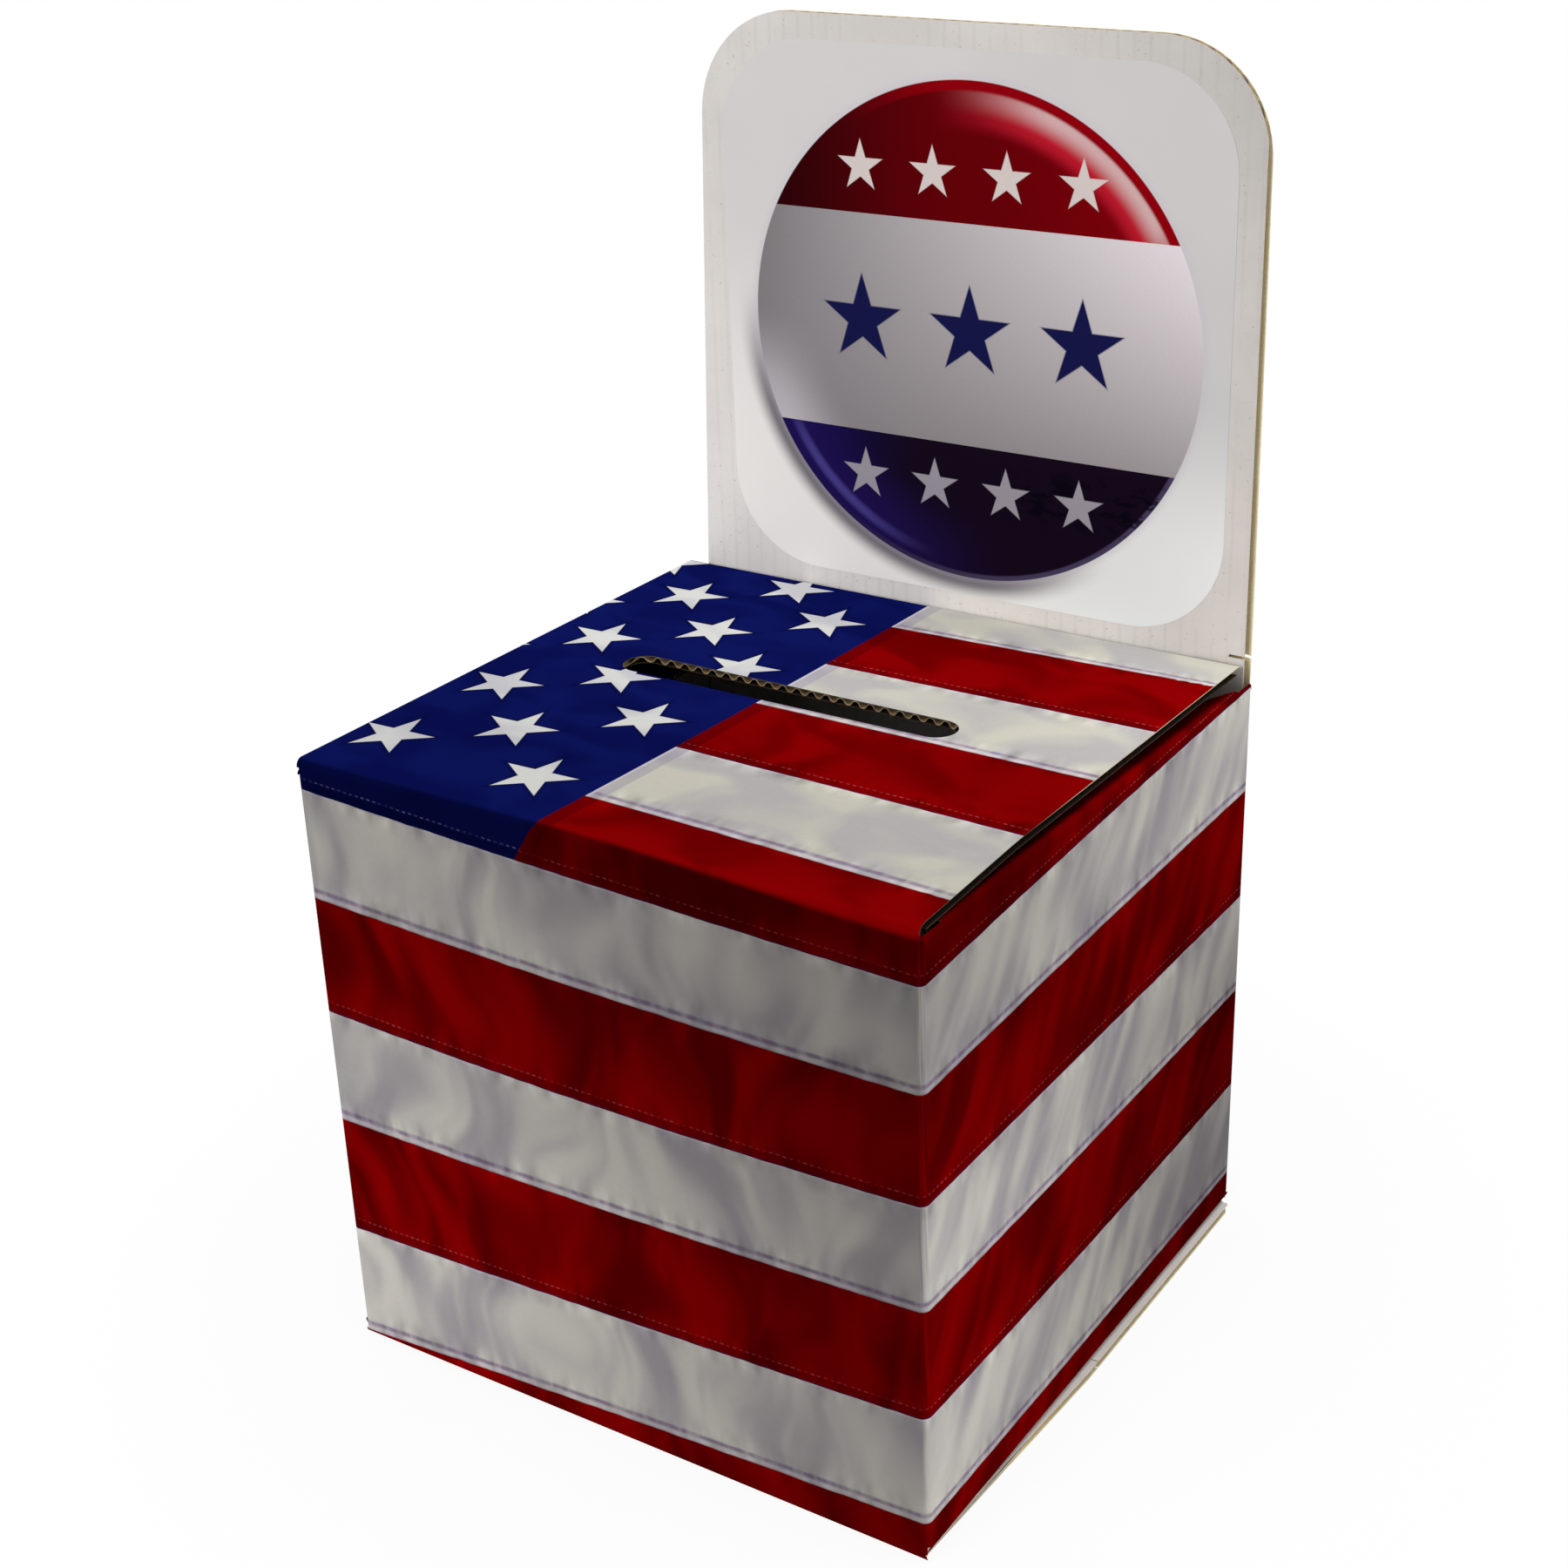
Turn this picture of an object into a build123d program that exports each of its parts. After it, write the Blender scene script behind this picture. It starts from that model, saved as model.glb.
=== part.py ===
from build123d import *
import os
from math import asin, atan2, cos, degrees, floor, hypot, radians, sin

# Folded corrugated ballot box with a front-hinged slotted lid and a tall header.
# Millimetres, +X to the right along the front, +Y to the rear, +Z up.
# The origin is the middle of the footprint, on the surface that the box stands on.

# Driving dimensions of the box
box_width = 305.0
box_depth = 299.0
front_height = 296.4
lid_rear_height = 291.1
side_rear_height = 282.4
header_top = 564.0

# Corrugated board: two flat liners with a waved medium between them
board = 3.6
liner = 0.35
medium = 0.25
glue_line = 0.05
flute_pitch = 7.6
flute_edge_margin = 0.8

# Folds: the outer liner bends round, the inner liner is creased square
fold_radius = board
fold_gap = 0.3
crease_relief = 1.6
layer_gap = 0.4

# Header, the upper part of the rear wall
header_left_inset = 5.2
header_right_inset = 0.8
header_left_draw = 11.0
header_right_draw = 1.8
header_corner_radius = 50.0
nick_length = 10.0
nick_height = 1.4
nick_lift = 2.2

# Lid and its ballot slot
lid_left_inset = 0.8
lid_right_inset = 0.8
lid_right_draw = 3.4
lid_draw_length = 80.0
lid_rear_gap = 0.5
slot_length = 173.0
slot_width = 20.0
slot_left_margin = 55.0
slot_front_margin = 152.5

# Tuck flap on the lid's rear edge
tuck_length = 42.0
tuck_side_inset = 24.0
tuck_taper = 14.0
tuck_corner_radius = 9.0
tuck_lean_angle = 8.5

# Dust flaps on the side walls' top edges
dust_length = 48.0
dust_front_setback = 16.0
dust_rear_setback = 14.0
dust_taper = 12.0
dust_corner_radius = 6.0
dust_droop_angle = 25.0

# Bottom flaps: two long ones that meet in the middle, two short ones above them
bottom_meeting_gap = 0.8
bottom_overhang = 2.5
front_flare_share = 0.94
rear_bottom_flare = 6.0
short_flap_length = 62.0
short_flap_setback = 22.0
short_flap_taper = 14.0
short_flap_corner_radius = 8.0

# Seam: a tab on the rear wall is glued inside the left wall
seam_tab_width = 34.0
seam_tab_taper = 12.0
seam_tab_clearance = 0.1
left_wall_rear_setback = 1.2

# Printed label on the header
label_width = 260.0
label_height = 253.0
label_thickness = 0.2
label_corner_radius = 46.0
label_above_lid = 8.4
label_shift = 7.0

# Worked out from the sizes above
half_width = box_width / 2
half_depth = box_depth / 2
side_front_height = front_height - board - layer_gap
side_bottom = board + layer_gap
side_slope = atan2(side_front_height - side_rear_height, box_depth)
seam_inset = board + seam_tab_clearance
back_width = box_width - seam_inset
pivot_depth = fold_radius * (1 - cos(radians(45)))
lid_length = box_depth - board - lid_rear_gap
lid_width = box_width - lid_left_inset - lid_right_inset
lid_slope = degrees(asin((front_height - lid_rear_height) / lid_length))
long_flap_length = (box_depth - bottom_meeting_gap) / 2
front_bottom_flare = front_flare_share * long_flap_length
cut_overrun = 2 * board

parts = {}


def solid_block(u_range, v_range, w_range):
    """A straight block between two places on each local axis."""
    size = [high - low for low, high in (u_range, v_range, w_range)]
    corner = (Align.MIN, Align.MIN, Align.MIN)
    return Pos(u_range[0], v_range[0], w_range[0]) * Box(*size, align=corner)


def ring_sector(depth_out, depth_in, start_angle, end_angle):
    """Part of the bent ply at a fold, between two depths below the outer surface."""
    centre = (fold_radius, fold_radius)
    outer = CenterArc(centre, fold_radius - depth_out, start_angle, end_angle - start_angle)
    inner = CenterArc(centre, fold_radius - depth_in, start_angle, end_angle - start_angle)
    sides = [Line(outer @ 0, inner @ 0), Line(outer @ 1, inner @ 1)]
    return make_face([outer, inner] + sides)


def half_gap_angle(gap):
    """The angle that half of a gap takes up at the fold's outer surface."""
    return degrees(gap / 2 / fold_radius)


def outer_profile(length, fold_start, fold_end, gap=0.0):
    """The outer liner's section across a panel: flat, with half a fold at either end."""
    low = fold_radius if fold_start else 0.0
    high = length - fold_radius if fold_end else length
    face = Pos(low, 0) * Rectangle(high - low, liner, align=(Align.MIN, Align.MIN))
    if fold_start:
        face += ring_sector(0.0, liner, 225 + half_gap_angle(gap), 270)
    if fold_end:
        bend = ring_sector(0.0, liner, 225 + half_gap_angle(gap), 270)
        face += Pos(length, 0) * mirror(bend, about=Plane.YZ)
    return face


def inner_profile(length, fold_start, fold_end):
    """The inner liner's section across a wall, mitred at the upright folds."""
    outer_depth = board - liner
    start = (outer_depth, board) if fold_start else (0.0, 0.0)
    end = (outer_depth, board) if fold_end else (0.0, 0.0)
    corners = [(start[0], outer_depth), (length - end[0], outer_depth)]
    corners += [(length - end[1], board), (start[1], board)]
    return make_face(Polyline(corners, close=True))


def along_u(face, start, end):
    """Sweep a section drawn in (v, w) along the local u axis."""
    return Pos(start, 0, 0) * extrude(Plane.YZ * face, amount=end - start, dir=(1, 0, 0))


def along_v(face, start, end):
    """Sweep a section drawn in (u, w) along the local v axis."""
    return Pos(0, start, 0) * extrude(Plane.XZ * face, amount=end - start, dir=(0, 1, 0))


def wave_section(width):
    """The medium's section: equal arcs, bent up and down by turns, joined where they are steepest."""
    swing = (board - 2 * liner - 2 * glue_line - medium) / 2
    quarter = flute_pitch / 4
    radius = (quarter ** 2 + swing ** 2) / (2 * swing)
    half_turn = asin(quarter / radius)
    count = floor((width - 2 * flute_edge_margin) / flute_pitch)
    start = (width - count * flute_pitch) / 2
    middle = board / 2
    edges = []
    ends = []
    for side in (1, -1):
        for half in range(2 * count):
            way = 1 if half % 2 == 0 else -1
            reach = radius + way * side * medium / 2
            centre_u = start + (2 * half + 1) * quarter
            centre_w = middle + way * (swing - radius)
            points = []
            for turn in (-half_turn, 0.0, half_turn):
                points.append((centre_u + reach * sin(turn), centre_w + way * reach * cos(turn)))
            edges.append(ThreePointArc(*points))
            if half == 0:
                ends.append(points[0])
            if half == 2 * count - 1:
                ends.append(points[2])
    edges.append(Line(ends[0], ends[2]))
    edges.append(Line(ends[1], ends[3]))
    return make_face(edges)


def flap_plies(width, length, rear_fold=False, flute_start=0.0):
    """Three plies of a panel that hangs on a fold at v = 0; its flutes run away from the fold."""
    v_start = board + crease_relief
    v_end = length - v_start if rear_fold else length
    return {
        "outer_liner": along_u(outer_profile(length, True, rear_fold, fold_gap), 0.0, width),
        "flutes": Pos(flute_start, 0, 0) * along_v(wave_section(width - flute_start), v_start, v_end),
        "inner_liner": solid_block((0.0, width), (v_start, v_end), (board - liner, board)),
    }


def wall_plies(width, fold_start, fold_end, v_range):
    """Three plies of an upright wall between its upright folds; its flutes are upright."""
    start = fold_radius if fold_start else 0.0
    end = fold_radius if fold_end else 0.0
    low, high = v_range
    return {
        "outer_liner": along_v(outer_profile(width, fold_start, fold_end), low, high),
        "flutes": Pos(start, 0, 0) * along_v(wave_section(width - start - end), low, high),
        "inner_liner": along_v(inner_profile(width, fold_start, fold_end), low, high),
    }


def wall_side_of_fold(u_range):
    """The wall's half of the bent outer liner, in the frame of the flap that hangs on the fold."""
    sector = ring_sector(0.0, liner, 180, 225 - half_gap_angle(fold_gap))
    return along_u(sector, *u_range)


def outline_prism(points, rounded=(), radius=0.0):
    """A prism through all the plies, from an outline with some of its corners rounded."""
    face = make_face(Polyline(points, close=True))
    if rounded:
        corners = [min(face.vertices(), key=lambda v: hypot(v.X - u, v.Y - w)) for u, w in rounded]
        face = fillet(corners, radius)
    return Pos(0, 0, -cut_overrun) * extrude(face, amount=board + 2 * cut_overrun)


def trim(plies, keep=None, cut=None):
    """Keep what lies inside one prism and outside another, on every ply."""
    result = {}
    for name, shape in plies.items():
        if keep is not None:
            shape = shape & keep
        if cut is not None:
            shape = shape - cut
        result[name] = shape
    return result


def add_panel(name, frame, plies):
    """Place a panel's plies in the box and give each its own node."""
    for ply, shape in plies.items():
        parts[f"{name}_{ply}"] = frame.location * shape


def tapered_flap(width, length, taper, corner_radius):
    """A trapezoid outline, wide at the fold, with round outer corners."""
    points = [(0.0, 0.0), (width, 0.0), (width - taper, length), (taper, length)]
    if corner_radius > 0:
        return outline_prism(points, points[2:], corner_radius)
    return outline_prism(points)


def turned(frame, angle):
    """A panel's frame with its free end swung inwards about the fold's pivot line."""
    inwards = frame.z_dir * cos(radians(angle)) - frame.y_dir * sin(radians(angle))
    swung = Plane(frame.from_local_coords(pivot_point), x_dir=frame.x_dir, z_dir=inwards)
    corner = swung.from_local_coords((0.0, -pivot_depth, -pivot_depth))
    return Plane(corner, x_dir=swung.x_dir, z_dir=swung.z_dir)


def moved_along_fold(frame, distance):
    """The same frame with its corner moved along the fold."""
    return Plane(frame.from_local_coords((distance, 0, 0)), x_dir=frame.x_dir, z_dir=frame.z_dir)


# Local frames: u along the fold, v into the panel, w inwards through the board
pivot_point = (0.0, pivot_depth, pivot_depth)
front_frame = Plane((half_width, -half_depth, 0), x_dir=(-1, 0, 0), z_dir=(0, 1, 0))
right_frame = Plane((half_width, half_depth, 0), x_dir=(0, -1, 0), z_dir=(-1, 0, 0))
left_frame = Plane((-half_width, -half_depth, 0), x_dir=(0, 1, 0), z_dir=(1, 0, 0))
back_frame = Plane((-half_width + seam_inset, half_depth, 0), x_dir=(1, 0, 0), z_dir=(0, -1, 0))
lid_fold = Plane((half_width, -half_depth, front_height), x_dir=(-1, 0, 0), z_dir=(0, 0, -1))
side_run = box_depth / cos(side_slope)
right_dust_fold = Plane(
    (half_width, half_depth, side_rear_height),
    x_dir=(0, -cos(side_slope), sin(side_slope)),
    z_dir=(0, -sin(side_slope), -cos(side_slope)),
)
left_dust_fold = Plane(
    (-half_width, -half_depth, side_front_height),
    x_dir=(0, cos(side_slope), -sin(side_slope)),
    z_dir=(0, -sin(side_slope), -cos(side_slope)),
)
front_bottom_fold = Plane((-half_width, -half_depth, 0), x_dir=(1, 0, 0), z_dir=(0, 0, 1))
rear_bottom_fold = Plane((half_width, half_depth, 0), x_dir=(-1, 0, 0), z_dir=(0, 0, 1))
right_bottom_fold = Plane((half_width, -half_depth, side_bottom), x_dir=(0, 1, 0), z_dir=(0, 0, 1))
left_bottom_fold = Plane((-half_width, half_depth, side_bottom), x_dir=(0, -1, 0), z_dir=(0, 0, 1))


def build_front_wall():
    """Front wall: folds to both side walls, to the lid above and to a long flap below."""
    plies = wall_plies(box_width, True, True, (fold_radius, front_height - fold_radius))
    fold_range = (fold_radius, box_width - fold_radius)
    add_panel("front_wall", front_frame, plies)
    for fold in (lid_fold, front_bottom_fold):
        parts["front_wall_outer_liner"] += fold.location * wall_side_of_fold(fold_range)


def side_outline(frame):
    """A side wall's area between its bottom and its sloping top fold, as a prism across it."""
    low = side_bottom + fold_radius
    places = ((-half_depth, side_front_height), (half_depth, side_rear_height))
    top = [(y, height - fold_radius / cos(side_slope)) for y, height in places]
    face = make_face(Polyline([top[0], top[1], (half_depth, low), (-half_depth, low)], close=True))
    prism = extrude(Plane.YZ * face, amount=box_width, both=True)
    return frame.location.inverse() * prism


def build_side_walls():
    """Side walls: the right one folds at both upright edges, the left one ends at the glued seam."""
    reach = (side_bottom, front_height)
    right = trim(wall_plies(box_depth, True, True, reach), keep=side_outline(right_frame))
    add_panel("right_wall", right_frame, right)
    left_width = box_depth - left_wall_rear_setback
    left = trim(wall_plies(left_width, True, False, reach), keep=side_outline(left_frame))
    add_panel("left_wall", left_frame, left)
    long_range = (fold_radius, box_depth - fold_radius)
    sloped_range = (fold_radius, side_run - fold_radius)
    for name, top, bottom in (
        ("right_wall_outer_liner", right_dust_fold, right_bottom_fold),
        ("left_wall_outer_liner", left_dust_fold, left_bottom_fold),
    ):
        parts[name] += top.location * wall_side_of_fold(sloped_range)
        parts[name] += bottom.location * wall_side_of_fold(long_range)


def header_outline():
    """The rear wall's outline: full width in the box, drawn in and rounded above it."""
    shoulder = side_rear_height - fold_radius
    left = header_left_inset
    right = back_width - header_right_inset
    points = [
        (0.0, fold_radius),
        (back_width, fold_radius),
        (back_width, shoulder),
        (right, shoulder),
        (right - header_right_draw, header_top),
        (left + header_left_draw, header_top),
        (left, shoulder),
        (0.0, shoulder),
    ]
    return outline_prism(points, points[4:6], header_corner_radius)


def build_back_wall():
    """Rear wall and header in one panel, with a short nick in its right edge at the lid's height."""
    plies = wall_plies(back_width, True, True, (fold_radius, header_top))
    nick_low = lid_rear_height + nick_lift
    right_edge = back_width - header_right_inset
    nick = solid_block(
        (right_edge - nick_length, back_width + cut_overrun),
        (nick_low, nick_low + nick_height),
        (-cut_overrun, board + cut_overrun),
    )
    add_panel("back_wall", back_frame, trim(plies, keep=header_outline(), cut=nick))
    fold_range = (fold_radius, back_width - fold_radius)
    parts["back_wall_outer_liner"] += rear_bottom_fold.location * wall_side_of_fold(fold_range)


def build_seam_tab():
    """Tab that folds forward from the rear wall and is glued inside the left wall."""
    low = side_bottom + board + short_flap_taper
    height = side_rear_height - board - short_flap_taper - low
    frame = Plane((-half_width + seam_inset, half_depth, low), x_dir=(0, 0, 1), z_dir=(1, 0, 0))
    v_start = board + crease_relief
    wave = Pos(v_start, 0) * wave_section(seam_tab_width - v_start)
    plies = {
        "outer_liner": along_u(outer_profile(seam_tab_width, True, False), 0.0, height),
        "flutes": along_u(wave, 0.0, height),
        "inner_liner": solid_block((0.0, height), (v_start, seam_tab_width), (board - liner, board)),
    }
    outline = tapered_flap(height, seam_tab_width, seam_tab_taper, 0.0)
    add_panel("seam_tab", frame, trim(plies, keep=outline))


def lid_outline():
    """The lid's outline: full width at its fold, drawn in on the right a little way back."""
    return outline_prism([
        (0.0, 0.0),
        (lid_width, 0.0),
        (lid_width, lid_length),
        (lid_right_draw, lid_length),
        (lid_right_draw, lid_draw_length),
    ])


def build_lid():
    """Lid: hangs on the front fold, slopes to the rear and has the ballot slot."""
    frame = moved_along_fold(turned(lid_fold, lid_slope), lid_right_inset)
    slot_u = box_width - lid_right_inset - slot_left_margin - slot_length / 2
    slot_v = slot_front_margin + slot_width / 2
    slot = Pos(slot_u, slot_v, -cut_overrun) * extrude(
        SlotOverall(slot_length, slot_width), amount=board + 2 * cut_overrun
    )
    plies = flap_plies(lid_width, lid_length, rear_fold=True, flute_start=lid_right_draw)
    add_panel("lid", frame, trim(plies, keep=lid_outline(), cut=slot))
    return frame


def build_tuck_flap(lid_frame):
    """Tuck flap: folds down from the lid's rear edge and leans inwards, clear of the rear wall."""
    width = lid_width - lid_right_draw - 2 * tuck_side_inset
    corner = lid_frame.from_local_coords((lid_right_draw + tuck_side_inset, lid_length, 0))
    square = Plane(corner, x_dir=lid_frame.x_dir, z_dir=-lid_frame.y_dir)
    frame = turned(square, tuck_lean_angle - lid_slope)
    outline = tapered_flap(width, tuck_length, tuck_taper, tuck_corner_radius)
    add_panel("tuck_flap", frame, trim(flap_plies(width, tuck_length), keep=outline))
    return frame


def build_dust_flaps():
    """Dust flaps: fold inwards from the side walls' tops and droop a little under the lid."""
    width = side_run - dust_front_setback - dust_rear_setback
    outline = tapered_flap(width, dust_length, dust_taper, dust_corner_radius)
    starts = {"right": dust_rear_setback, "left": dust_front_setback}
    for side, fold in (("right", right_dust_fold), ("left", left_dust_fold)):
        frame = moved_along_fold(turned(fold, dust_droop_angle), starts[side])
        plies = trim(flap_plies(width, dust_length), keep=outline)
        add_panel(f"{side}_dust_flap", frame, plies)


def flared_outline(flare):
    """A long bottom flap's outline: it spreads from its fold until it passes the side walls."""
    return outline_prism([
        (fold_radius, 0.0),
        (box_width - fold_radius, 0.0),
        (box_width + bottom_overhang, flare),
        (box_width + bottom_overhang, long_flap_length),
        (-bottom_overhang, long_flap_length),
        (-bottom_overhang, flare),
    ])


def build_bottom_flaps():
    """Long flaps meet in the middle on the floor; short flaps lie on them, inside."""
    full_width = box_width + 2 * bottom_overhang
    for name, fold, flare in (
        ("front_bottom_flap", front_bottom_fold, front_bottom_flare),
        ("rear_bottom_flap", rear_bottom_fold, rear_bottom_flare),
    ):
        plies = flap_plies(full_width, long_flap_length)
        shifted = {ply: Pos(-bottom_overhang, 0, 0) * shape for ply, shape in plies.items()}
        add_panel(name, fold, trim(shifted, keep=flared_outline(flare)))
    width = box_depth - 2 * short_flap_setback
    outline = tapered_flap(width, short_flap_length, short_flap_taper, short_flap_corner_radius)
    for name, fold in (("right_bottom_flap", right_bottom_fold), ("left_bottom_flap", left_bottom_fold)):
        plies = trim(flap_plies(width, short_flap_length), keep=outline)
        add_panel(name, moved_along_fold(fold, short_flap_setback), plies)


def build_label():
    """Rounded square label stuck on the header's front face."""
    low = lid_rear_height + label_above_lid
    face = RectangleRounded(label_width, label_height, label_corner_radius)
    front = half_depth - board
    plane = Plane((label_shift, front, low + label_height / 2), x_dir=(1, 0, 0), z_dir=(0, -1, 0))
    parts["header_label"] = extrude(plane * face, amount=label_thickness)


def say(name, frame):
    """Print a fold's pivot point and its direction, in millimetres."""
    place = frame.from_local_coords(pivot_point)
    print(name, [round(c, 3) for c in place], [round(c, 5) for c in frame.x_dir])


build_front_wall()
build_side_walls()
build_back_wall()
build_seam_tab()
lid_frame = build_lid()
tuck_frame = build_tuck_flap(lid_frame)
build_dust_flaps()
build_bottom_flaps()
build_label()

say("lid fold", lid_fold)
say("tuck fold", tuck_frame)
say("right dust fold", right_dust_fold)
say("left dust fold", left_dust_fold)
say("front bottom fold", front_bottom_fold)
say("rear bottom fold", rear_bottom_fold)
say("right bottom fold", right_bottom_fold)
say("left bottom fold", left_bottom_fold)
print("lid slope", round(lid_slope, 4), "side slope", round(degrees(side_slope), 4))

os.makedirs("parts", exist_ok=True)
for name, shape in parts.items():
    shape.label = name
    export_step(shape, f"parts/{name}.step")
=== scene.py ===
import math
import bpy
import numpy as np
from mathutils import Matrix, Vector


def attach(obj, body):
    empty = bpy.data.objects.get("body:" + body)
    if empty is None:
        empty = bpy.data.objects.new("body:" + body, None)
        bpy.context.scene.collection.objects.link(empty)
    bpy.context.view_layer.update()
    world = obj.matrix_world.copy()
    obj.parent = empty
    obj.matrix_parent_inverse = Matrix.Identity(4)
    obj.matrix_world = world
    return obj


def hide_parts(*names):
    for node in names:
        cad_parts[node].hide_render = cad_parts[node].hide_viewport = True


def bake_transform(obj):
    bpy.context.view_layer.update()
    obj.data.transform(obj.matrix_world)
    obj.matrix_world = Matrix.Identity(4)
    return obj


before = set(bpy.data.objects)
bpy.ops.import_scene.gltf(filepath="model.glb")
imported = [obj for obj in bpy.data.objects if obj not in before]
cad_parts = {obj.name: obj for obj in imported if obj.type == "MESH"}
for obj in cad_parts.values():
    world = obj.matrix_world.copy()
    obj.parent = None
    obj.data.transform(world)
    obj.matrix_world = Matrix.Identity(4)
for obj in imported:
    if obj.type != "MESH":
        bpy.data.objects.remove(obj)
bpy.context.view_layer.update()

# Sizes of the box in metres and degrees: +X to the right along the front, +Y to the rear, +Z up
box_width = 0.305
box_depth = 0.299
front_height = 0.2964
lid_rear_height = 0.2911
side_rear_height = 0.2824
board = 0.0036
liner = 0.00035
layer_gap = 0.0004
flute_pitch = 0.0076
fold_radius = board
header_top = 0.564
header_left_inset = 0.0052
header_right_inset = 0.0008
header_left_draw = 0.011
header_right_draw = 0.0018
header_corner_radius = 0.050
nick_length = 0.010
nick_height = 0.0014
nick_lift = 0.0022
lid_left_inset = 0.0008
lid_right_inset = 0.0008
lid_right_draw = 0.0034
lid_draw_length = 0.080
lid_rear_gap = 0.0005
slot_length = 0.173
slot_width = 0.020
slot_left_margin = 0.055
slot_front_margin = 0.1525
tuck_length = 0.042
tuck_side_inset = 0.024
tuck_taper = 0.014
tuck_corner_radius = 0.009
tuck_angle = 8.5
dust_length = 0.048
dust_front_setback = 0.016
dust_rear_setback = 0.014
dust_taper = 0.012
dust_corner_radius = 0.006
dust_angle = 25.0
bottom_meeting_gap = 0.0008
bottom_overhang = 0.0025
front_flare_share = 0.94
rear_bottom_flare = 0.006
short_flap_length = 0.062
short_flap_setback = 0.022
short_flap_taper = 0.014
short_flap_corner_radius = 0.008
seam_tab_clearance = 0.0001
left_wall_rear_setback = 0.0012
header_flute_shift = 0.00265

# Worked out from the sizes above
half_width = box_width / 2
half_depth = box_depth / 2
side_front_height = front_height - board - layer_gap
side_bottom = board + layer_gap
side_slope = math.atan2(side_front_height - side_rear_height, box_depth)
side_run = box_depth / math.cos(side_slope)
seam_inset = board + seam_tab_clearance
back_width = box_width - seam_inset
pivot_depth = fold_radius * (1 - math.cos(math.radians(45)))
lid_length = box_depth - board - lid_rear_gap
lid_width = box_width - lid_left_inset - lid_right_inset
lid_slope = math.degrees(math.asin((front_height - lid_rear_height) / lid_length))
long_flap_length = (box_depth - bottom_meeting_gap) / 2
front_bottom_flare = front_flare_share * long_flap_length

# Grids of the printed sheets: how far apart their points are, and how many there are in places
sheet_step = 0.0045
bend_rows = 7
corner_rows = 8
header_corner_rows = 16
header_columns = 66
header_edge_columns = 6
header_flat_share = 0.98
slot_side_points = 48
slot_end_points = 32
slot_rings = 34
slot_ring_crowding = 1.25
fold_columns = 67
sharp_angle = 40.0


def panel(corner, along, inward):
    """A panel's local frame: u runs along the fold, v into the panel, w inwards through the board."""
    u = np.array(along, float)
    w = np.array(inward, float)
    return np.array(corner, float), u, np.cross(w, u), w


def at(frame_of_panel, u, v, w):
    """Points of a panel's local frame as places in the box."""
    corner, along_u, along_v, along_w = frame_of_panel
    u, v, w = np.broadcast_arrays(u, v, w)
    return corner + u[..., None] * along_u + v[..., None] * along_v + w[..., None] * along_w


def turned(frame_of_panel, angle):
    """The frame with its free end swung inwards about the fold's pivot line, by degrees."""
    corner, u, v, w = frame_of_panel
    swing = math.radians(angle)
    inward = w * math.cos(swing) - v * math.sin(swing)
    pivot = corner + pivot_depth * (v + w)
    into = np.cross(inward, u)
    return pivot - pivot_depth * (into + inward), u, into, inward


def moved(frame_of_panel, distance):
    """The same frame with its corner moved along the fold."""
    corner, u, v, w = frame_of_panel
    return corner + distance * u, u, v, w


def side_fold(corner, way):
    """The frame of a side wall's sloping top fold; way is 1 on the left and -1 on the right."""
    along = (0, way * math.cos(side_slope), -way * math.sin(side_slope))
    return panel(corner, along, (0, -math.sin(side_slope), -math.cos(side_slope)))


front_frame = panel((half_width, -half_depth, 0), (-1, 0, 0), (0, 1, 0))
right_frame = panel((half_width, half_depth, 0), (0, -1, 0), (-1, 0, 0))
left_frame = panel((-half_width, -half_depth, 0), (0, 1, 0), (1, 0, 0))
back_frame = panel((-half_width + seam_inset, half_depth, 0), (1, 0, 0), (0, -1, 0))
lid_fold = panel((half_width, -half_depth, front_height), (-1, 0, 0), (0, 0, -1))
right_dust_fold = side_fold((half_width, half_depth, side_rear_height), -1)
left_dust_fold = side_fold((-half_width, -half_depth, side_front_height), 1)
front_bottom_fold = panel((-half_width, -half_depth, 0), (1, 0, 0), (0, 0, 1))
rear_bottom_fold = panel((half_width, half_depth, 0), (-1, 0, 0), (0, 0, 1))
right_bottom_fold = panel((half_width, -half_depth, side_bottom), (0, 1, 0), (0, 0, 1))
left_bottom_fold = panel((-half_width, half_depth, side_bottom), (0, -1, 0), (0, 0, 1))
open_lid = turned(lid_fold, lid_slope)
lid_frame = moved(open_lid, lid_right_inset)

# The print lies on the flat blank, in millimetres: "round" goes round the walls from the front
# left corner to the right, and "up" from the bottom fold over the lid
mm = 1000.0
rear_right = box_width + box_depth
front_right_mm = box_width * mm
rear_right_mm = rear_right * mm
front_fold = front_height * mm
flute_turn = 2 * math.pi / flute_pitch

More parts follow.
